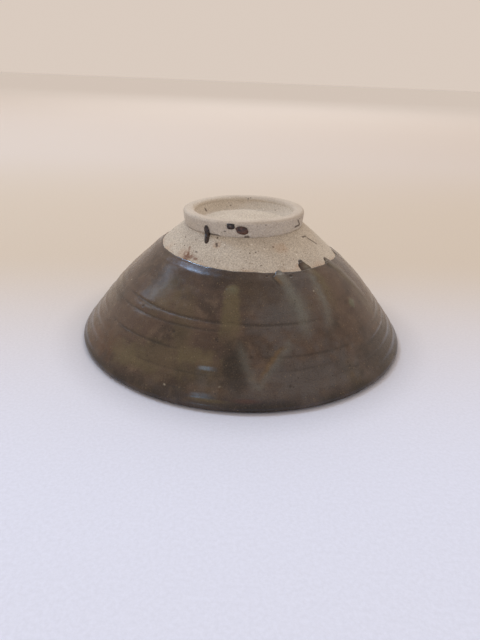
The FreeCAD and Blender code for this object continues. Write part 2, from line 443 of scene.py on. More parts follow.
OLIVE = (0.125, 0.098, 0.048)
OCHRE = (0.190, 0.105, 0.030)
ASH = (0.185, 0.190, 0.163)
SLATE = (0.108, 0.100, 0.097)
SOOT = (0.018, 0.015, 0.012)
RUST = (0.095, 0.042, 0.018)
PLUM = (0.042, 0.038, 0.046)
CREAM = (0.62, 0.55, 0.42)
TAN = (0.128, 0.080, 0.050)
MOSS = (0.135, 0.135, 0.085)
PALE_ASH = (0.185, 0.165, 0.130)
UMBER = (0.040, 0.025, 0.018)
GOLD = (0.21, 0.16, 0.07)
INK = (0.03, 0.03, 0.045)
WINE = (0.10, 0.035, 0.03)


def patch(azimuth, slant, centre, size, seed, rough=0.5):
    """A soft blotch: centre and half size as azimuth and slant, its edge broken up by noise."""
    across = from_azimuth(azimuth, centre[0]) / size[0]
    along = (slant / MM - centre[1]) / size[1]
    where = grid(azimuth, slant)
    ragged = rough * (noise(where, 2.2 * MM, seed) + 0.9 * noise(where, 6.5 * MM, seed + 100))
    return 1 - fade(np.hypot(across, along) + ragged, 0.25, 1.50)


def tint_runs(tint, azimuth, slant):
    """Colours of the runs: side is -1 at a run's left side and 1 at its right, down is 1 at its foot."""
    where = grid(azimuth, slant)
    grain = 0.22 * noise(where, 1.3 * MM, 21) + 0.15 * noise(where, 3.5 * MM, 22)
    for name in RUNS:
        side, down = beside_run(name, azimuth, slant)

        def band(middle, half):
            return bell(side - middle + grain, half)

        def stripe(middle, half):
            return bell(side - middle, half)

        def until(start, end):
            return 1 - fade(down, start, end)

        inside = 1 - fade(np.abs(side) + grain, 0.60, 1.30)
        if name == "olive":
            tint.wash(OLIVE, 0.80 * inside * until(0.55, 1.0))
            tint.wash(MOSS, 0.60 * stripe(0, 0.75) * until(0.02, 0.16))
        elif name == "ash":
            tint.wash(ASH, 0.34 * band(0, 0.72) * fade(down, 0.0, 0.35) * until(0.85, 1.0))
        elif name == "slanting":
            tint.wash(ASH, 0.36 * band(0.30, 0.80) * until(0.85, 1.0))
            tint.wash(OCHRE, 0.50 * band(-0.50, 0.50) * fade(down, 0.02, 0.2) * until(0.5, 0.85))
        elif name == "left":
            tint.wash(ASH, 0.60 * band(0, 0.90) * until(0.45, 1.0))
            tint.wash(PALE_ASH, 0.50 * stripe(0.1, 0.60) * fade(down, 0.01, 0.05) * until(0.08, 0.30))
            tint.wash(OCHRE, 0.50 * stripe(-0.75, 0.34) * fade(down, 0.02, 0.06) * until(0.10, 0.2))
            tint.wash(SOOT, 0.85 * stripe(-1.12, 0.16) * until(0.10, 0.22))
        elif name == "middle":
            tint.wash(OLIVE, 0.75 * band(0.60, 0.62) * until(0.30, 0.75))
            tint.wash(ASH, 0.60 * band(-0.50, 0.50) * fade(down, 0.1, 0.25) * until(0.5, 1.0))
            tint.wash(PALE_ASH, 0.80 * stripe(0.1, 0.55) * fade(down, 0.03, 0.08) * until(0.10, 0.22))
            tint.wash(SOOT, 0.90 * stripe(-1.0, 0.30) * until(0.05, 0.16))
            tint.wash(SOOT, 0.80 * until(0.005, 0.04) * inside)
        else:
            tint.wash(OLIVE, 0.50 * stripe(-0.45, 0.60) * until(0.5, 0.9))
            tint.wash(PALE_ASH, 0.60 * band(0.25, 0.55) * until(0.4, 1.0))
            tint.wash(SOOT, 0.55 * stripe(-0.95, 0.25) * until(0.1, 0.3))


# Blotches of the coat, laid in this order: colour, cover, centre, half size, seed and raggedness
BLOTCHES = [
    (SLATE, 0.62, (19, 40), (14, 17), 34, 0.5),
    (SLATE, 0.55, (33, 47), (7, 8), 35, 0.5),
    (SLATE, 0.62, (22, 12), (17, 9), 36, 0.5),
    (SLATE, 0.35, (58, 9), (26, 7), 38, 0.5),
    (SOOT, 0.60, (64, 9), (22, 8), 61, 0.5),
    (SOOT, 0.50, (-49, 19.4), (5, 0.8), 64, 0.5),
    (SOOT, 0.42, (-10, 51), (28, 4), 67, 0.5),
    (SOOT, 0.36, (-12, 9), (9, 8), 68, 0.5),
    (SOOT, 0.62, (-2.4, 15.5), (4.2, 7.5), 69, 0.3),
    (SOOT, 0.50, (-33, 20.1), (8, 1), 65, 0.5),
    (PLUM, 0.55, (8, 1.5), (34, 3), 66, 0.5),
    (SLATE, 0.45, (10, 7), (24, 6), 62, 0.5),
    (SLATE, 0.30, (22, 38), (12, 9), 63, 0.5),
    (RUST, 0.80, (-54, 8.5), (11, 6), 37, 0.5),
    (UMBER, 0.60, (-40, 4.6), (13, 3), 51, 0.5),
    (OLIVE, 0.70, (-39, 10), (9, 4), 39, 0.5),
    (OLIVE, 0.70, (-17, 18), (8, 3.5), 40, 0.5),
    (OLIVE, 0.40, (-28, 14), (18, 6), 41, 0.5),
    (OLIVE, 0.45, (-38, 40), (9, 9), 52, 0.5),
    (UMBER, 0.55, (2, 46), (22, 8), 53, 0.5),
    (SOOT, 0.72, (-1.6, 16), (5.4, 9.5), 42, 0.3),
    (UMBER, 0.45, (-9, 24), (7, 3), 54, 0.5),
]
# Pale specks: azimuth and slant
SPECKS = scattered(26, 9, 3, 46)


def glaze_tint(azimuth, slant):
    """Large colour changes of the outer coat and the lip."""
    where = grid(azimuth, slant)
    tint = Tint(slant.shape)
    level = where * [0.45, 0.45, 2.2]
    tint.wash(TAN, 0.50 * fade(noise(where, 16 * MM, 31) + 0.5 * noise(level, 4 * MM, 32), -0.1, 0.9))
    tint.wash(OLIVE, 0.35 * fade(noise(where * [1, 1, 0.4], 11 * MM, 33), 0.15, 0.8))
    tint.wash(UMBER, 0.45 * fade(noise(level, 5 * MM, 30), 0.15, 0.85))
    for colour, cover, centre, size, seed, rough in BLOTCHES:
        tint.wash(colour, cover * patch(azimuth, slant, centre, size, seed, rough))
    rings = throwing_rings(azimuth, slant)
    tint.wash(SOOT, 0.48 * fade(-rings, 0.02 * MM, 0.16 * MM))
    tint.wash(TAN, 0.30 * fade(rings, 0.08 * MM, 0.3 * MM))
    tint_runs(tint, azimuth, slant)
    green = spot(azimuth, slant, *BUMP) / MM + 0.8 * noise(where, 1.6 * MM, 44)
    for shade in BUMP_SHADES:
        tint.wash(UMBER, 0.62 * bell(spot(azimuth, slant, *shade), 1.7 * MM))
    tint.wash(MOSS, 0.85 * (1 - fade(green, 1.2, 2.8)))
    tint.wash(GOLD, 0.45 * patch(azimuth, slant, (-8, 3.0), (6, 0.7), 45, 0.2))
    tint.wash(INK, 0.65 * patch(azimuth, slant, (8, 2.2), (9, 1.3), 46, 0.3))
    tint.wash(WINE, 0.50 * patch(azimuth, slant, (3, 3.6), (4, 0.8), 47, 0.3))
    near_lip = 1 - fade(np.abs(slant), 1.6 * MM, 4.6 * MM)
    tint.wash(SOOT, 0.75 * near_lip * fade(noise(where, 9 * MM, 48), -0.9, 0.2))
    tint.wash(SOOT, 0.35 * bell(glaze_line(azimuth) - slant, 0.8 * MM))
    for at_azimuth, at_slant, radius, _ in CRATERS:
        tint.wash(SOOT, 0.8 * bell(spot(azimuth, slant, at_azimuth, at_slant), radius * 0.7 * MM))
    for speck in SPECKS:
        tint.wash(CREAM, 0.9 * bell(spot(azimuth, slant, *speck), 0.26 * MM))
    return tint.rgba


# --------------------------------------------------------------------------- glaze pieces

GLAZE_COLUMNS = 640
INNER_COLUMNS = 512


def outer_glaze():
    """The dipped coat, from the lip's band up to the glaze line, where it rolls off."""
    azimuth = columns(GLAZE_COLUMNS)[None, :]
    rolled = np.sin(np.linspace(0, np.pi / 2, 14))
    share = np.concatenate([np.linspace(0, 0.97, 124, endpoint=False), 0.97 + 0.03 * rolled])
    edge = glaze_line(azimuth)
    slant = OUTER_BAND + (edge - OUTER_BAND) * share[:, None]
    azimuth = np.broadcast_to(azimuth, slant.shape)
    front = wall_surface(azimuth, slant, glaze_lift(azimuth, slant))
    hidden = slice(-2, 0, -20)
    back = wall_surface(azimuth[hidden], slant[hidden], 0)
    base = wall_surface(azimuth[:1], slant[:1], 0)
    rows = np.concatenate([front, back, base])
    tint = glaze_tint(azimuth, slant)
    tint = np.concatenate([tint, tint[hidden], tint[:1]])
    return lathe("outer_glaze_coat", rows, tint)


def lip_glaze():
    """The doubled coat round the lip, flattened where it rests."""
    azimuth = columns(GLAZE_COLUMNS)[None, :]
    slant = np.concatenate([np.linspace(OUTER_BAND, 1.6 * MM, 14, endpoint=False),
                            np.linspace(1.6 * MM, -3.6 * MM, 30, endpoint=False),
                            np.linspace(-3.6 * MM, INNER_BAND, 8)])[:, None]
    slant, azimuth = np.broadcast_arrays(slant, azimuth)
    front = wall_surface(azimuth, slant, glaze_lift(azimuth, slant))
    front[..., 2] = np.maximum(front[..., 2], 0)
    back = wall_surface(azimuth, slant, 0)[::-3]
    tint = glaze_tint(azimuth, slant)
    return lathe("lip_glaze_band", np.concatenate([front, back]), np.concatenate([tint, tint[::-3]]))


def inner_glaze():
    """The poured coat inside the bowl."""
    azimuth = columns(INNER_COLUMNS)[None, :]
    slant = np.linspace(INNER_BAND, clay.start + POOL_HOLE, 110)[:, None]
    slant, azimuth = np.broadcast_arrays(slant, azimuth)
    front = wall_surface(azimuth, slant, glaze_lift(azimuth, slant) + inner_relief(azimuth, slant))
    back = wall_surface(azimuth, slant, 0)[::-9]
    rows = np.concatenate([front[::-1], back[::-1]])
    tint = inner_tint(azimuth, slant)
    return lathe("inner_glaze_coat", rows, np.concatenate([tint[::-1], tint[::-9][::-1]]), poles=True)


def inner_relief(azimuth, slant):
    """A slow spiral that the potter's finger left inside. It fades out at the bottom."""
    deep = -slant
    turn = azimuth / 360
    rings = 0.12 * MM * np.cos(TURN * (deep / (7.5 * MM) + turn))
    inside = fade(deep, -INNER_BAND + 2 * MM, -INNER_BAND + 9 * MM)
    bottom = fade(deep, -clay.start - 30 * MM, -clay.start - 8 * MM)
    return rings * inside * (1 - bottom)


def inner_tint(azimuth, slant):
    """Colour changes inside: streaks down the wall and a paler pool at the bottom."""
    where = grid(azimuth, slant)
    tint = Tint(slant.shape)
    deep = -slant
    streaks = noise(np.stack([np.radians(azimuth) * 9, deep / (22 * MM), deep * 0], -1), 1.0, 61)
    tint.wash(TAN, 0.45 * fade(noise(where, 15 * MM, 62), -0.2, 0.8))
    tint.wash(OLIVE, 0.60 * fade(streaks + 0.5 * noise(where, 6 * MM, 63), 0.0, 0.9))
    pool = fade(deep, -clay.start - 26 * MM, -clay.start - 10 * MM)
    tint.wash(ASH, 0.40 * pool * fade(noise(where, 5 * MM, 64), -0.5, 0.7))
    tint.wash(SOOT, 0.35 * fade(-inner_relief(azimuth, slant), 0.03 * MM, 0.12 * MM))
    tint.wash(SOOT, 0.45 * (1 - fade(deep, 3 * MM, 6 * MM)))
    return tint.rgba


def glaze_runs():
    """One leaf-shaped skin per run, sunk a little into the coat at its sides."""
    points, faces, tints = [], [], []
    sunk = 0.05 * MM
    for name, path in RUNS.items():
        middle = run_path(path, 90)
        across = np.sin(np.linspace(-np.pi / 2, np.pi / 2, 19))[None, :] * 1.04
        along = np.linspace(0, 1, len(middle))[:, None]
        half = middle[:, 2:3]
        slant = middle[:, 1:2] + 0 * across
        slant = slant + half[0] * np.sqrt(np.clip(1 - across**2, 0, 1)) * (1 - fade(along, 0, 0.04))
        radius = clay.at(slant)[0]
        azimuth = middle[:, 0:1] + np.degrees(across * half / radius)
        bare = fade(slant, glaze_line(azimuth) - 0.5 * MM, glaze_line(azimuth) + 0.5 * MM)
        under = glaze_lift(azimuth, slant) - sunk
        ends = np.sin(np.pi * np.clip(along, 0.0, 1.0)) ** 0.35
        softer = fade(along, 0.10, 0.45)
        rounded = np.clip(1 - (across / 1.04) ** 2, 0, 1) ** (0.6 + 1.2 * softer)
        rise = RUN_RISE[name] * MM * rounded * ends * (1 - 0.72 * softer)
        top = wall_surface(azimuth, slant, under + sunk * ends + rise + 0.25 * GLAZE * bare * ends)
        bottom = wall_surface(azimuth, slant, under - 0.1 * MM)
        start = len(points)
        rows, cols = slant.shape
        points += top.reshape(-1, 3).tolist() + bottom.reshape(-1, 3).tolist()
        tints += glaze_tint(azimuth, slant).reshape(-1, 4).tolist() * 2
        faces += leaf_faces(start, rows, cols)
    return piece("glaze_run_set", np.array(points), faces, np.array(tints))


def leaf_faces(start, rows, cols):
    """Faces of two sheets with the same grid, closed along all four edges."""
    under = start + rows * cols
    faces = []
    for i in range(rows - 1):
        for j in range(cols - 1):
            a = i * cols + j
            corners = [a, a + 1, a + cols + 1, a + cols]
            faces.append([start + c for c in corners])
            faces.append([under + c for c in reversed(corners)])
    rim = list(range(cols))
    rim += [i * cols + cols - 1 for i in range(1, rows)]
    rim += [(rows - 1) * cols + j for j in range(cols - 2, -1, -1)]
    rim += [i * cols for i in range(rows - 2, 0, -1)]
    for a, b in zip(rim, rim[1:] + rim[:1]):
        faces.append([start + a, under + a, under + b, start + b])
    return faces


# --------------------------------------------------------------------------- clay pieces

CLAY_COLUMNS = 720

# Marks on the bare clay: azimuth and slant of both ends, and half width in millimetres
WALL_MARKS = [((59, 66.5), (65, 66), 0.36), ((65, 65), (70, 60.5), 0.40), ((-34, 61), (-33.5, 61), 0.34),
              ((-21, 66.5), (-20, 65.5), 0.50), ((-96, 64), (-91, 62.5), 0.25),
              ((151, 67), (156, 63.5), 0.25)]
# Marks on the foot's outer side, the same with heights in place of slants
FOOT_MARKS = [((60, 56), (64.5, 54), 0.38), ((64.5, 54), (65, 53.5), 0.50), ((65, 53.5), (56, 53.5), 0.40),
              ((20, 57), (20.5, 57), 0.34), ((-16, 54), (-15.5, 54), 0.30), ((-31, 52), (-22, 52), 0.26),
              ((2.5, 52), (5, 52), 0.50), ((128, 55.5), (131, 54), 0.30)]
# Iron spots in the foot's recess and on its flat: azimuth, radius and half size
RECESS_SPOTS = [(-119, 20.5, 0.62)]
RECESS_SPOTS += [(azimuth, radius, 0.34) for azimuth, radius in scattered(14, 6, 7, 25)]

FLASH = (0.46, 0.245, 0.115)
STAIN = (0.165, 0.062, 0.026)
# Dark iron brown: iron marks, and also painted shade at the foot's joint
IRON_AND_SHADE = (0.045, 0.026, 0.018)
PALE = (0.66, 0.59, 0.51)
# Colour of the painted shade laid on the foot's flat top
FLAT_PAINTED_SHADE = (0.38, 0.30, 0.23)


def near_stroke(azimuth, along, radius, start, end):
    """Distance from a short straight stroke drawn on a turned surface."""
    across = np.radians(from_azimuth(azimuth, start[0])) * radius
    end_across = math.radians(end[0] - start[0]) * radius
    rise = (end[1] - start[1]) * MM
    up = along - start[1] * MM
    share = np.clip((across * end_across + up * rise) / (end_across**2 + rise**2), 0, 1)
    return np.hypot(across - share * end_across, up - share * rise)


def wall_tint(azimuth, slant):
    """Warm flashes by the glaze line, a rusty stain and iron marks on the bare clay."""
    where = grid(azimuth, slant)
    tint = Tint(slant.shape)
    above = slant - glaze_line(azimuth)
    ragged = noise(where, 3.2 * MM, 71)
    tint.wash(FLASH, 0.34 * (1 - fade(above, 0.2 * MM, 1.8 * MM)) * fade(ragged, -0.6, 0.6))
    tint.wash(FLASH, 0.22 * fade(noise(where, 8 * MM, 72), 0.35, 0.95) * (1 - fade(above, 2 * MM, 8 * MM)))
    tint.wash(FLASH, 0.24 * patch(azimuth, slant, (-44, 59.5), (6.0, 2.6), 73))
    tint.wash(FLASH, 0.24 * patch(azimuth, slant, (30, 64.4), (5.0, 2.5), 74))
    tint.wash(FLASH, 0.30 * patch(azimuth, slant, (-20.6, 66.0), (3.0, 1.4), 77))
    tint.wash(FLASH, 0.40 * patch(azimuth, slant, (37.0, 54.8), (3.0, 1.4), 78))
    patchy = fade(noise(where, 1.1 * MM, 76), -0.55, 0.10)
    tint.wash(STAIN, 0.90 * patch(azimuth, slant, (-37.6, 58.2), (4.2, 1.7), 75, 0.6) * patchy)
    tint.wash(STAIN, 0.85 * patch(azimuth, slant, (-31.6, 57.7), (1.6, 0.8), 79, 0.5))
    radius = clay.at(slant)[0]
    streak = near_stroke(azimuth, slant, radius, (-41.6, 62.2), (-38.6, 58.8)) + 0.35 * MM * ragged
    tint.wash(STAIN, 0.80 * (1 - fade(streak, 0.1 * MM, 0.9 * MM)))
    # Dark line along the joint: partly brown staining, partly painted shade in the crease under the foot
    tint.wash(IRON_AND_SHADE, 0.12 * bell(slant - clay.end, 0.4 * MM) * fade(ragged, -0.5, 0.5))
    for start, end, half in WALL_MARKS:
        away = near_stroke(azimuth, slant, radius, start, end)
        tint.wash(IRON_AND_SHADE, 0.85 * (1 - fade(away, 0.5 * half * MM, 1.6 * half * MM)))
    return tint.rgba


def seat_rows(azimuth):
    """The flat between boss and wall that the foot ring sits on, as two rows."""
    radius = np.array([BOSS_RADIUS, 0.5 * (BOSS_RADIUS + FOOT_BASE_RADIUS)])[:, None]
    return around(radius + 0 * azimuth, JOINT_HEIGHT + 0 * radius + 0 * azimuth, azimuth + 0 * radius)


def bowl_body():
    """The clay body: the boss inside the foot, the seat, the outer wall, the lip and the inside."""
    azimuth = columns(CLAY_COLUMNS)[None, :]
    dome_radius = np.linspace(0.4 * MM, BOSS_RADIUS, 34)[:, None]
    share = dome_radius / BOSS_RADIUS
    dome_height = BOSS_CROWN - (BOSS_CROWN - BOSS_EDGE) * share**2
    dome_radius, dome_height, dome_azimuth = np.broadcast_arrays(dome_radius, dome_height, azimuth)
    dome = around(dome_radius, dome_height, dome_azimuth)
    spiral = np.cos(TURN * (dome_radius / (2.9 * MM) + azimuth / 360))
    sand = 0.05 * MM * noise(dome, 0.8 * MM, 81) + 0.04 * MM * spiral
    dome[..., 2] += sand * fade(dome_radius, 0, 3 * MM) + 0.10 * MM * noise(dome, 9 * MM, 82)
    bare_start = 46 * MM
    lip = 3 * MM
    slant = np.concatenate([np.linspace(clay.end, bare_start, 74), np.linspace(bare_start, lip, 14)[1:],
                            np.linspace(lip, -lip, 9)[1:],
                            np.linspace(-lip, clay.start + POOL_HOLE, 14)[1:]])
    slant, wall_azimuth = np.broadcast_arrays(slant[:, None], azimuth)
    where = grid(wall_azimuth, slant)
    bare = fade(slant, 48 * MM, 50 * MM)
    sand = 0.035 * MM * bare * (noise(where, 0.75 * MM, 83) + 0.8 * noise(where, 1.9 * MM, 84))
    wall = wall_surface(wall_azimuth, slant, sand)
    tint = np.concatenate([recess_tint(dome_azimuth, dome_radius, dome), np.zeros((2, CLAY_COLUMNS, 4)),
                           wall_tint(wall_azimuth, slant)])
    return lathe("bowl_clay", np.concatenate([dome, seat_rows(azimuth), wall]), tint, poles=True)


def recess_tint(azimuth, radius, where):
    """Colour of the foot's flat and recess: painted shade on the flat, a paler wall and iron spots."""
    tint = Tint(radius.shape)
    # Painted shade: the foot's flat top is darkened to stand for less light falling on it
    tint.wash(FLAT_PAINTED_SHADE, 0.55 * fade(where[..., 2], BOWL_HEIGHT - 0.9 * MM, BOWL_HEIGHT - 0.1 * MM))
    tint.wash(PALE, 0.10 + 0.28 * fade(radius, 16 * MM, 20 * MM) + 0.15 * noise(where, 6 * MM, 85))
    for at_azimuth, at_radius, half in RECESS_SPOTS:
        across = np.radians(from_azimuth(azimuth, at_azimuth)) * at_radius * MM
        away = np.hypot(across, radius - at_radius * MM) + 0.15 * MM * noise(where, 0.6 * MM, 86)
        tint.wash(IRON_AND_SHADE, 0.80 * (1 - fade(away, 0.5 * half * MM, 1.3 * half * MM)))
    return tint.rgba


def quarter(centre, start, end, count):
    """Points along a rounded edge of the foot, between two angles and without the first."""
    turn = np.radians(np.linspace(start, end, count))[1:]
    return np.stack([centre[0] + FOOT_EDGE * np.cos(turn), centre[1] + FOOT_EDGE * np.sin(turn)], 1)


def foot_section():
    """The foot ring's outline from the joint up its outer side, over the flat and down into the
    recess, and how many of its points are on the outer side."""
    inner_flat, outer_flat = FOOT_FLAT
    inner_flat += FLAT_SETBACK
    top = BOWL_HEIGHT - FOOT_EDGE
    up = np.linspace(0, 1, 30)
    groove = 0.16 * MM * bell(up - 0.02, 0.05)
    side_radius = FOOT_BASE_RADIUS + (FOOT_TOP_RADIUS - FOOT_BASE_RADIUS) * up**0.8 - groove
    side = np.stack([side_radius, JOINT_HEIGHT + (top - JOINT_HEIGHT) * up], 1)
    outer_round = quarter((outer_flat, top), 0, 90, 11)
    flat = np.linspace((outer_flat, BOWL_HEIGHT), (inner_flat, BOWL_HEIGHT), 14)[1:]
    turn = np.radians(np.linspace(90, 180, 15))
    across, deep = WORN_EDGE
    inner_round = np.stack([inner_flat + across * np.cos(turn), BOWL_HEIGHT + deep * (np.sin(turn) - 1)], 1)
    cove_end = np.array([BOSS_RADIUS, BOSS_EDGE])
    cove_middle = np.array(RECESS_COVE)
    u = np.linspace(0, 1, 26)[1:, None]
    cove = (1 - u) ** 2 * inner_round[-1] + 2 * u * (1 - u) * cove_middle + u**2 * cove_end
    return np.concatenate([side, outer_round, flat, inner_round, cove]), len(side)


def foot_ring():
    """The foot ring, sandy and worn, with its marks."""
    section, side_rows = foot_section()
    along = np.gradient(section, axis=0)
    along /= np.linalg.norm(along, axis=1)[:, None]
    azimuth = np.broadcast_to(columns(CLAY_COLUMNS)[None, :], (len(section), CLAY_COLUMNS))
    radius = np.broadcast_to(section[:, :1], azimuth.shape)
    height = np.broadcast_to(section[:, 1:], azimuth.shape)
    where = around(radius, height, azimuth)
    sand = 0.035 * MM * (noise(where, 0.75 * MM, 91) + 0.9 * noise(where, 2.1 * MM, 92))
    worn = 0.14 * MM * noise(where, 7 * MM, 93) - 0.22 * MM * fade(noise(where, 2.4 * MM, 94), 0.55, 0.95)
    held = fade(height, JOINT_HEIGHT + 0.3 * MM, JOINT_HEIGHT + 1.5 * MM)
    off = (sand + worn) * held
    surface = around(radius + along[:, 1:] * off, height - along[:, :1] * off, azimuth)
    tint = Tint(radius.shape)
    outside = (np.arange(len(section)) < side_rows)[:, None] * np.ones_like(radius)
    broken = fade(noise(where, 4 * MM, 96), -0.8, 0.6)
    tint.wash(PALE, 0.26 * outside)
    # Dark line at the joint: partly brown staining, partly painted shade in the crease under the foot
    tint.wash(IRON_AND_SHADE, 0.34 * bell(height - JOINT_HEIGHT - 0.1 * MM, 0.35 * MM) * outside * broken)
    for start, end, half in FOOT_MARKS:
        away = near_stroke(azimuth, height, FOOT_TOP_RADIUS, start, end)
        tint.wash(IRON_AND_SHADE, 0.85 * outside * (1 - fade(away, 0.5 * half * MM, 1.6 * half * MM)))
    inside = recess_tint(azimuth, radius, where)
    tint.rgba = tint.rgba * outside[..., None] + np.maximum(inside, tint.rgba) * (1 - outside[..., None])
    rows = np.concatenate([surface, seat_rows(azimuth[:1])])
    return lathe("foot_ring_clay", rows, np.concatenate([tint.rgba, tint.rgba[:2]]))


# Dark glaze drops on the foot. Each follows a path of azimuth, radius and height in millimetres,
# and has a half width and a thickness.
DROPS = [
    [(-34, 27, 55.5), (-34, 27, 54), (-34, 26.5, 53), (-33, 27, 51.5), (-31.5, 28, 50.5), (-30, 29.5, 49),
     (-29.5, 30, 48.5)],
    [(-11, 27, 57.5), (-10.5, 27, 56.5), (-10.5, 27, 55)],
    [(-2, 27, 56.5), (-0.5, 27, 55), (0.5, 26.7, 53)],
]
DROP_SIZES = [(1.25, 0.85), (1.85, 0.50), (2.35, 0.40)]
BURST = (0.30, 0.22, 0.16)
BROWN_DROP = (0.135, 0.060, 0.038)


def drop_rows(path, half_width, thickness, seed):
    """Rings of points round a path, as a flattened bead that lies on the clay."""
    fine = 0.5 - 0.5 * np.cos(np.linspace(0, np.pi, 34))
    at = np.linspace(0, 1, len(path))
    azimuth = np.interp(fine, at, [place[0] for place in path])[:, None]
    middle = np.stack([np.interp(fine, at, [place[k] for place in path]) * MM for k in (1, 2)], 1)
    for _ in range(3):
        middle[1:-1] = (middle[:-2] + 2 * middle[1:-1] + middle[2:]) / 4
    along = np.gradient(middle, axis=0)
    along /= np.linalg.norm(along, axis=1)[:, None]
    out = np.stack([-along[:, 1], along[:, 0]], 1)
    swell = (1 - np.abs(2 * fine - 1) ** 2.5 + 0.002) ** 0.5
    turn = np.linspace(0, TURN, 28, endpoint=False)[None, :]
    ragged = 1 + 0.20 * np.sin(2 * turn + seed) * np.sin(5 * fine[:, None] + seed)
    ragged += 0.10 * np.sin(5 * turn + 9 * fine[:, None])
    side = half_width * MM * swell[:, None] * np.cos(turn) * ragged
    lift = thickness * MM * swell[:, None] * np.sin(turn) * ragged
    radius = middle[:, :1] + out[:, :1] * lift
    height = middle[:, 1:] + out[:, 1:] * lift
    return around(radius, height, azimuth + np.degrees(side / radius))


def glaze_drops():
    """The drops: the first plain, the second burst in its middle, the third brown and grainy."""
    made = []
    for number, (path, (half_width, thickness)) in enumerate(zip(DROPS, DROP_SIZES)):
        rows = drop_rows(path, half_width, thickness, number + 1)
        tint = Tint(rows.shape[:2])
        if number == 2:
            grain = noise(rows, 0.9 * MM, 101)
            tint.wash(BROWN_DROP, 0.9 * fade(grain, -0.7, 0.3))
        if number == 1:
            burst = np.linalg.norm(rows - rows.reshape(-1, 3).mean(0), axis=-1)
            tint.wash(BURST, 0.8 * (1 - fade(burst, 0.45 * MM, 0.80 * MM)))
        made.append(lathe("glaze_drop_" + str(number + 1), rows, tint.rgba, poles=True))
    return made


# ------------------------------------------------------------------------------ materials

class Nodes:
    """A short way to write a node material."""

    def __init__(self, name):
        self.material = bpy.data.materials.new(name)
        self.material.use_nodes = True
        self.tree = self.material.node_tree
        self.shader = self.tree.nodes["Principled BSDF"]
        self.place = self.add("ShaderNodeTexCoord").outputs["Object"]

    def add(self, kind, **values):
        node = self.tree.nodes.new(kind)
        for key, value in values.items():
            setattr(node, key, value)
        return node

    def put(self, socket, value):
        if isinstance(value, bpy.types.NodeSocket):
            self.tree.links.new(value, socket)
        else:
            socket.default_value = value

    def noise(self, size, detail=2.0, rough=0.5):
        """Noise whose swings are about this long, in metres."""
        node = self.add("ShaderNodeTexNoise")
        self.put(node.inputs["Vector"], self.place)
        node.inputs["Scale"].default_value = 1 / size
        node.inputs["Detail"].default_value = detail
        node.inputs["Roughness"].default_value = rough
        return node.outputs["Fac"]

    def math(self, operation, a, b=0.0):
        node = self.add("ShaderNodeMath", operation=operation)
        self.put(node.inputs[0], a)
        self.put(node.inputs[1], b)
        return node.outputs[0]

    def between(self, value, low, high, start=0.0, end=1.0):
        """Start below low, end above high and smooth between."""
        node = self.add("ShaderNodeMapRange", interpolation_type="SMOOTHSTEP")
        for socket, given in zip(node.inputs, (value, low, high, start, end)):
            self.put(socket, given)
        return node.outputs[0]

    def mix(self, share, a, b, blend="MIX"):
        node = self.add("ShaderNodeMix", data_type="RGBA", blend_type=blend)
        self.put(node.inputs["Factor"], share)
        self.put(node.inputs["A"], a if isinstance(a, bpy.types.NodeSocket) else (*a, 1))
        self.put(node.inputs["B"], b if isinstance(b, bpy.types.NodeSocket) else (*b, 1))
        return node.outputs["Result"]

    def specks(self, cell, size, share):
        """Dots with random sizes in a share of the cells."""
        node = self.add("ShaderNodeTexVoronoi")
        self.put(node.inputs["Vector"], self.place)
        node.inputs["Scale"].default_value = 1 / cell
        split = self.add("ShaderNodeSeparateColor")
        self.put(split.inputs[0], node.outputs["Color"])
        chosen = self.between(split.outputs[0], 1 - share, 1.0, 0.0, size)
        return self.between(node.outputs["Distance"], self.math("MULTIPLY", chosen, 0.55), chosen, 1.0, 0.0)

    def with_tint(self, base, mottle):
        """Lays the piece's own washes over a base colour, thinner and thicker with the mottle."""
        tint = self.add("ShaderNodeAttribute", attribute_name="tint")
        cover = self.math("MULTIPLY", tint.outputs["Alpha"], mottle)
        under = self.mix(cover, base, (0, 0, 0))
        washes = self.add("ShaderNodeVectorMath", operation="SCALE")
        self.put(washes.inputs[0], tint.outputs["Color"])
        self.put(washes.inputs["Scale"], mottle)
        return self.mix(1.0, under, washes.outputs[0], "ADD")

    def bump(self, height, strength, distance, below=None):
        """Relief over the surface, or over another relief."""
        node = self.add("ShaderNodeBump")
        node.inputs["Strength"].default_value = strength
        node.inputs["Distance"].default_value = distance
        self.put(node.inputs["Height"], height)
        if below is not None:
            self.put(node.inputs["Normal"], below)
        return node.outputs[0]

    def finish(self, colour, roughness, normal):
        """Joins the shader's main sockets and gives the material back."""
        self.put(self.shader.inputs["Base Color"], colour)
        self.put(self.shader.inputs["Roughness"], roughness)
        self.put(self.shader.inputs["Normal"], normal)
        return self.material


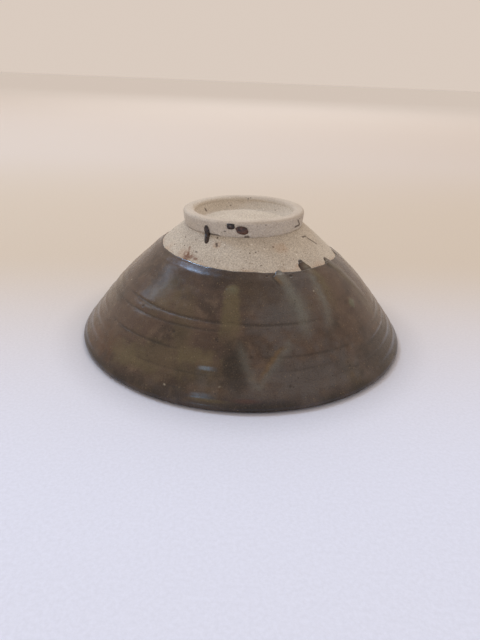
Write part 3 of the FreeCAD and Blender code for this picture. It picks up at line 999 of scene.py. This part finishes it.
def stoneware():
    """Bare sandy clay: mottled, grainy, with iron specks in three sizes and pale grits."""
    n = Nodes("stoneware")
    colour = n.mix(n.between(n.noise(11 * MM, 3), 0.3, 0.7), (0.548, 0.480, 0.385), (0.638, 0.570, 0.462))
    grain = n.between(n.noise(0.55 * MM, 3, 0.7), 0.25, 0.75)
    colour = n.mix(grain, n.mix(0.50, colour, (0.15, 0.11, 0.08)), n.mix(0.42, colour, (0.84, 0.76, 0.65)))
    colour = n.mix(n.math("MULTIPLY", n.specks(0.8 * MM, 0.40, 0.42), 0.62), colour, (0.17, 0.105, 0.062))
    colour = n.mix(n.math("MULTIPLY", n.specks(2.3 * MM, 0.21, 0.42), 0.78), colour, (0.070, 0.042, 0.028))
    colour = n.mix(n.math("MULTIPLY", n.specks(5.5 * MM, 0.11, 0.32), 0.88), colour, (0.050, 0.030, 0.022))
    colour = n.mix(n.math("MULTIPLY", n.specks(2.7 * MM, 0.20, 0.40), 0.55), colour, (0.88, 0.82, 0.73))
    colour = n.with_tint(colour, n.between(n.noise(0.7 * MM, 2), 0.2, 0.7, 0.72, 1.0))
    sand = n.bump(n.noise(0.30 * MM, 3, 0.7), 0.55, 0.10 * MM)
    sand = n.bump(n.specks(1.3 * MM, 0.30, 0.25), 0.35, 0.12 * MM, sand)
    n.shader.inputs["Specular IOR Level"].default_value = 0.25
    return n.finish(colour, n.between(n.noise(1.5 * MM, 2), 0.2, 0.8, 0.78, 0.95), sand)


def glaze(name, dark, middle, light, polish):
    """A brown stoneware glaze: mottled, finely grained, with ochre crystals and a soft shine."""
    n = Nodes(name)
    broad = n.noise(14 * MM, 5, 0.55)
    colour = n.mix(n.between(broad, 0.30, 0.55), dark, middle)
    colour = n.mix(n.between(n.noise(4.5 * MM, 4, 0.6), 0.45, 0.78), colour, light)
    colour = n.with_tint(colour, n.between(n.noise(0.8 * MM, 3, 0.65), 0.25, 0.70, 0.70, 1.0))
    grain = n.noise(0.42 * MM, 3, 0.75)
    colour = n.mix(n.between(grain, 0.30, 0.52, 0.42, 0.0), colour, (0.020, 0.015, 0.012))
    colour = n.mix(n.between(grain, 0.52, 0.75, 0.0, 0.34), colour, (0.215, 0.165, 0.105))
    colour = n.mix(n.math("MULTIPLY", n.specks(1.0 * MM, 0.30, 0.35), 0.45), colour, (0.27, 0.20, 0.115))
    colour = n.mix(n.math("MULTIPLY", n.specks(1.7 * MM, 0.22, 0.30), 0.60), colour, (0.014, 0.010, 0.008))
    skin = n.bump(n.noise(2.6 * MM, 2), 0.22, 0.16 * MM)
    skin = n.bump(n.noise(0.55 * MM, 2), 0.16, 0.05 * MM, skin)
    skin = n.bump(n.specks(3.4 * MM, 0.10, 0.30), -0.5, 0.10 * MM, skin)
    n.shader.inputs["IOR"].default_value = 1.52
    n.shader.inputs["Specular IOR Level"].default_value = 0.36
    return n.finish(colour, n.between(n.noise(3.0 * MM, 4, 0.6), 0.25, 0.75, polish, polish + 0.12), skin)


def iron_glaze():
    """The drops' near-black glaze."""
    n = Nodes("iron_glaze")
    colour = n.mix(n.between(n.noise(0.8 * MM, 3), 0.35, 0.7), (0.013, 0.009, 0.008), (0.050, 0.026, 0.018))
    colour = n.with_tint(colour, n.between(n.noise(0.5 * MM, 2), 0.3, 0.7, 0.6, 1.0))
    skin = n.bump(n.noise(0.7 * MM, 2), 0.35, 0.12 * MM)
    return n.finish(colour, n.between(n.noise(1.2 * MM, 2), 0.3, 0.7, 0.24, 0.42), skin)


# ----------------------------------------------------------------------------- the object

brown = glaze("brown_glaze", (0.052, 0.034, 0.024), (0.092, 0.058, 0.041), (0.128, 0.086, 0.058), 0.17)
clay_material = stoneware()
iron = iron_glaze()

fit(bowl_body(), "bowl_body", clay_material)
fit(foot_ring(), "foot_ring", clay_material)
fit(outer_glaze(), "outer_glaze", brown)
fit(lip_glaze(), "lip_glaze",
    glaze("lip_glaze", (0.042, 0.030, 0.024), (0.080, 0.052, 0.038), (0.116, 0.080, 0.054), 0.17))
fit(inner_glaze(), "inner_glaze",
    glaze("inner_glaze", (0.052, 0.036, 0.024), (0.092, 0.064, 0.042), (0.128, 0.096, 0.060), 0.18))
fit(glaze_runs(), "glaze_runs", brown)
for drop in glaze_drops():
    fit(drop, "glaze_drops", iron)


# ------------------------------------------------------------------------------ the stage

CLOTH = (0.75, 0.795, 0.945)
WARM_CLOTH = (0.645, 0.565, 0.475)
FAR_CLOTH = (0.665, 0.60, 0.55)
HORIZON = (1.0, 0.99, 0.98)
CLOTH_SKEW = 0.076

# The shade round the lip is full within the first radius and gone past the second
LIP_REACH = 74 * MM
SHADOW_REACH = 92 * MM

GLOW = (0.70, 0.60, 0.525)


def floor():
    """A large pale cloth that turns warmer behind the bowl, with a painted contact shadow close to the lip.
    """
    reach = 60.0
    mesh = bpy.data.meshes.new("stage_floor")
    corners = [(-reach, -reach, 0), (reach, -reach, 0), (reach, reach, 0), (-reach, reach, 0)]
    mesh.from_pydata(corners, [], [(0, 1, 2, 3)])
    made = bpy.data.objects.new("stage_floor", mesh)
    bpy.context.scene.collection.objects.link(made)
    n = Nodes("stage_floor")
    split = n.add("ShaderNodeSeparateXYZ")
    n.put(split.inputs[0], n.place)
    back = n.math("SUBTRACT", split.outputs[1], n.math("MULTIPLY", split.outputs[0], CLOTH_SKEW))
    colour = n.mix(n.between(back, -0.13, 0.11), CLOTH, WARM_CLOTH)
    colour = n.mix(n.between(back, 0.20, 0.60), colour, FAR_CLOTH)
    colour = n.mix(n.between(back, 0.60, 3.5), colour, HORIZON)
    pile = n.between(n.noise(1.1 * MM, 3, 0.7), 0.25, 0.75, 0.93, 1.0)
    colour = n.mix(1.0, colour, pile, "MULTIPLY")
    away = n.add("ShaderNodeVectorMath", operation="LENGTH")
    n.put(away.inputs[0], n.place)
    # Painted contact shadow: the cloth's colour is darkened near the lip
    painted_contact_shadow = n.between(away.outputs["Value"], LIP_REACH, SHADOW_REACH, 0.87, 1.0)
    colour = n.mix(1.0, colour, painted_contact_shadow, "MULTIPLY")
    n.shader.inputs["Specular IOR Level"].default_value = 0.1
    felt = n.bump(n.noise(2.5 * MM, 3), 0.25, 0.5 * MM)
    made.data.materials.append(n.finish(colour, 0.9, felt))


def area_light(name, direction, distance, size, power, colour):
    """A soft light in a direction from the bowl, facing it. Size is across and up."""
    light = bpy.data.lights.new(name, "AREA")
    light.shape = "RECTANGLE"
    light.size, light.size_y = size
    light.energy = power
    light.color = colour
    made = bpy.data.objects.new(name, light)
    place = Vector(direction).normalized() * distance
    made.location = place
    made.rotation_euler = place.to_track_quat("Z", "Y").to_euler()
    bpy.context.scene.collection.objects.link(made)
    return made


def lights():
    """Windows and sky at the left, a soft room light above and a warm glow all round.
    The sky's glint is hidden from diffuse rays, so it shows only as a highlight."""
    area_light("window", (-0.79, 0.26, 0.56), 1.6, (0.19, 0.50), 0.85, (0.52, 0.74, 1.0))
    area_light("skylight", (-0.43, 0.36, 0.83), 1.6, (0.22, 0.38), 6.5, (0.62, 0.79, 1.0))
    glint = area_light("sky_glint", (-0.41, 0.38, 0.83), 1.59, (0.22, 0.40), 16.0, (0.26, 0.54, 1.0))
    glint.visible_diffuse = False
    area_light("low_window", (-0.37, -0.87, 0.31), 1.5, (0.16, 0.24), 0.95, (0.34, 0.66, 1.0))
    area_light("room", (0.05, 0.60, 0.80), 2.4, (2.0, 2.0), 19.0, (1.0, 0.97, 0.94))
    world = bpy.data.worlds.new("studio")
    bpy.context.scene.world = world
    world.use_nodes = True
    nodes = world.node_tree.nodes
    links = world.node_tree.links
    direction = nodes.new("ShaderNodeTexCoord").outputs["Generated"]
    split = nodes.new("ShaderNodeSeparateXYZ")
    links.new(direction, split.inputs[0])
    ramp = nodes.new("ShaderNodeMapRange")
    ramp.interpolation_type = "SMOOTHSTEP"
    links.new(split.outputs[1], ramp.inputs["Value"])
    ramp.inputs["From Min"].default_value = -0.9
    ramp.inputs["From Max"].default_value = 0.5
    ramp.inputs["To Min"].default_value = 0.88
    ramp.inputs["To Max"].default_value = 1.0
    background = nodes["Background"]
    background.inputs["Color"].default_value = (*GLOW, 1)
    links.new(ramp.outputs["Result"], background.inputs["Strength"])


CAMERA_ELEVATION = math.radians(25.81)
CAMERA_DISTANCE = 248.5 * MM
CAMERA_AIM = Vector((0, 0, 1.0 * MM))
CAMERA_SWING = (-0.0034, 0.0039)
CAMERA_ROLL = 0.0412
LENS = 28.1


def camera():
    """The camera in front of the bowl, looking down at it and rolled a little."""
    back = Vector((0, -math.cos(CAMERA_ELEVATION), math.sin(CAMERA_ELEVATION)))
    across = Vector((1, 0, 0))
    over = back.cross(across)
    ahead = (-back + CAMERA_SWING[0] * across + CAMERA_SWING[1] * over).normalized()
    across = ahead.cross(Vector((0, 0, 1))).normalized()
    over = across.cross(ahead)
    right = across * math.cos(CAMERA_ROLL) + over * math.sin(CAMERA_ROLL)
    up = over * math.cos(CAMERA_ROLL) - across * math.sin(CAMERA_ROLL)
    made = bpy.data.objects.new("camera", bpy.data.cameras.new("camera"))
    turned = Matrix((right, up, -ahead)).transposed().to_4x4()
    made.matrix_world = Matrix.Translation(CAMERA_AIM + back * CAMERA_DISTANCE) @ turned
    made.data.lens = LENS
    made.data.clip_start = 0.01
    bpy.context.scene.collection.objects.link(made)
    bpy.context.scene.camera = made


floor()
lights()
camera()
bpy.context.scene.view_settings.view_transform = "Standard"

bpy.context.view_layer.update()
